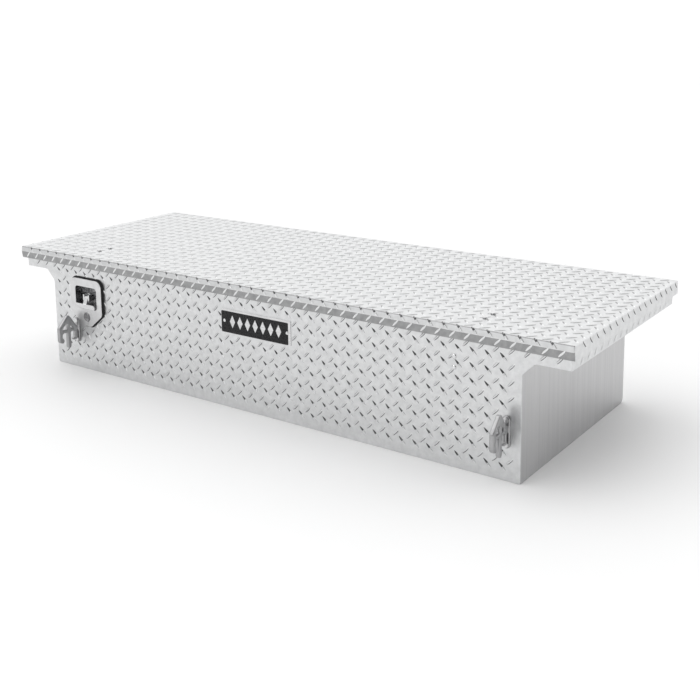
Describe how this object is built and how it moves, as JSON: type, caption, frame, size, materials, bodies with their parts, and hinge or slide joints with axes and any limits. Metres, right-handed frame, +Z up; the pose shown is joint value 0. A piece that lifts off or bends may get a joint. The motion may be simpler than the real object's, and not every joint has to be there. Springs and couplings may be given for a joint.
{
  "type": "truck tool box",
  "caption": "Low-profile crossover truck tool box in tread plate: one lid on a full-length rear hinge, gas struts, folding T-handle lock, tie-down hooks.",
  "frame": {"origin": "middle of the tub's underside, halfway between the end panels and between the front and rear panels", "axes": "+X along the box to the end away from the lock, +Y to the rear (the hinge side), +Z up"},
  "size_m": [1.778, 0.7055, 0.345],
  "materials": {
    "diamond_plate": "bright rolled tread plate",
    "smooth_sheet": "mill finish sheet with faint streaks",
    "stainless": "polished stainless steel",
    "zinc_plated_steel": "bright zinc plate",
    "cast_steel": "bead-blasted cast steel",
    "rubber": "matt black rubber",
    "black_paint": "gloss black paint",
    "polished_rod": "hard chrome",
    "badge": "black enamel on aluminium",
    "guide_plastic": "black nylon"
  },
  "bodies": {
    "box": {"front_panel": "diamond_plate", "rear_panel": "diamond_plate", "floor_panel": "smooth_sheet", "left_end_panel": "smooth_sheet", "right_end_panel": "smooth_sheet", "left_wing": "diamond_plate", "right_wing": "diamond_plate", "rear_rail": "diamond_plate", "opening_frame": "smooth_sheet", "lid_seal": "rubber", "hinge_leaf_box": "stainless", "hinge_pin": "stainless", "hinge_rivets_box": "stainless", "strut_foot_left": "zinc_plated_steel", "strut_foot_right": "zinc_plated_steel", "lock_pan": "stainless", "lock_gasket": "rubber", "lock_backing_plate": "zinc_plated_steel", "lock_nuts": "zinc_plated_steel", "latch_base_left": "zinc_plated_steel", "latch_base_right": "zinc_plated_steel", "latch_pivots": "zinc_plated_steel", "latch_rivets": "stainless", "rod_guides": "guide_plastic", "tie_down_hook_left": "cast_steel", "tie_down_hook_right": "cast_steel", "hook_bolts": "stainless", "badge_plate": "badge", "badge_rivets": "stainless"},
    "lid": {"lid_skin": "diamond_plate", "lid_stiffeners": "smooth_sheet", "hinge_leaf_lid": "stainless", "hinge_rivets_lid": "stainless", "striker_left": "zinc_plated_steel", "striker_right": "zinc_plated_steel", "striker_bolts": "stainless", "strut_head_left": "zinc_plated_steel", "strut_head_right": "zinc_plated_steel"},
    "strut_barrel_left": {"strut_barrel_left": "black_paint"},
    "strut_barrel_right": {"strut_barrel_right": "black_paint"},
    "strut_rod_left": {"strut_rod_left": "polished_rod"},
    "strut_rod_right": {"strut_rod_right": "polished_rod"},
    "spindle": {"lock_spindle": "stainless", "spindle_cam": "zinc_plated_steel", "spindle_nut": "zinc_plated_steel", "handle_pin": "stainless"},
    "handle": {"t_handle": "stainless"},
    "key": {"key_plug": "stainless", "key_cam": "zinc_plated_steel"},
    "release_rod": {"pull_rod": "zinc_plated_steel"},
    "pawl_left": {"pawl_left": "zinc_plated_steel"},
    "pawl_right": {"pawl_right": "zinc_plated_steel"},
    "claw_left": {"claw_left": "zinc_plated_steel"},
    "claw_right": {"claw_right": "zinc_plated_steel"}
  },
  "joints": [
    {"name": "lid_hinge", "type": "hinge", "parent": "box", "child": "lid", "pos_m": [0, 0.3224, 0.3045], "axis": [-1, 0, 0], "range_deg": [0, 70]},
    {"name": "strut_barrel_left_swing", "type": "hinge", "parent": "box", "child": "strut_barrel_left", "pos_m": [-0.7435, 0.20951, 0.04697], "axis": [-1, 0, 0], "range_deg": [0, 35]},
    {"name": "strut_rod_left_swing", "type": "hinge", "parent": "lid", "child": "strut_rod_left", "pos_m": [-0.7435, 0.04179, 0.3225], "axis": [1, 0, 0], "range_deg": [0, 35]},
    {"name": "strut_barrel_right_swing", "type": "hinge", "parent": "box", "child": "strut_barrel_right", "pos_m": [0.7435, 0.20951, 0.04697], "axis": [-1, 0, 0], "range_deg": [0, 35]},
    {"name": "strut_rod_right_swing", "type": "hinge", "parent": "lid", "child": "strut_rod_right", "pos_m": [0.7435, 0.04179, 0.3225], "axis": [1, 0, 0], "range_deg": [0, 35]},
    {"name": "handle_turn", "type": "hinge", "parent": "box", "child": "spindle", "pos_m": [-0.617, -0.305, 0.219], "axis": [0, -1, 0], "range_deg": [0, 45.02], "stiffness_Nm_per_rad": 0.4},
    {"name": "handle_fold", "type": "hinge", "parent": "spindle", "child": "handle", "pos_m": [-0.617, -0.305, 0.219], "axis": [-1, 0, 0], "range_deg": [0, 90]},
    {"name": "key_turn", "type": "hinge", "parent": "box", "child": "key", "pos_m": [-0.617, -0.3015, 0.162], "axis": [0, 1, 0], "range_deg": [0, 90]},
    {"name": "release_rod_slide", "type": "slide", "parent": "box", "child": "release_rod", "axis": [-1, 0, 0], "range_m": [0, 0.01837]},
    {"name": "pawl_left_turn", "type": "hinge", "parent": "box", "child": "pawl_left", "pos_m": [-0.602, -0.228, 0.278], "axis": [0, 1, 0], "range_deg": [0, 28.71]},
    {"name": "pawl_right_turn", "type": "hinge", "parent": "box", "child": "pawl_right", "pos_m": [0.667, -0.228, 0.278], "axis": [0, 1, 0], "range_deg": [0, 28.71]},
    {"name": "claw_left_turn", "type": "hinge", "parent": "box", "child": "claw_left", "pos_m": [-0.616, -0.228, 0.296], "axis": [0, 1, 0], "range_deg": [0, 60], "stiffness_Nm_per_rad": 0.05},
    {"name": "claw_right_turn", "type": "hinge", "parent": "box", "child": "claw_right", "pos_m": [0.653, -0.228, 0.296], "axis": [0, 1, 0], "range_deg": [0, 60], "stiffness_Nm_per_rad": 0.05}
  ],
  "couplings": [
    {"joint": "strut_barrel_left_swing", "follows": "lid_hinge", "ratio": 0.5},
    {"joint": "strut_rod_left_swing", "follows": "lid_hinge", "ratio": 0.5},
    {"joint": "strut_barrel_right_swing", "follows": "lid_hinge", "ratio": 0.5},
    {"joint": "strut_rod_right_swing", "follows": "lid_hinge", "ratio": 0.5},
    {"joint": "handle_turn", "follows": "release_rod_slide", "rad_per_m": 42.757},
    {"joint": "pawl_left_turn", "follows": "release_rod_slide", "rad_per_m": 27.261},
    {"joint": "pawl_right_turn", "follows": "release_rod_slide", "rad_per_m": 27.261}
  ]
}
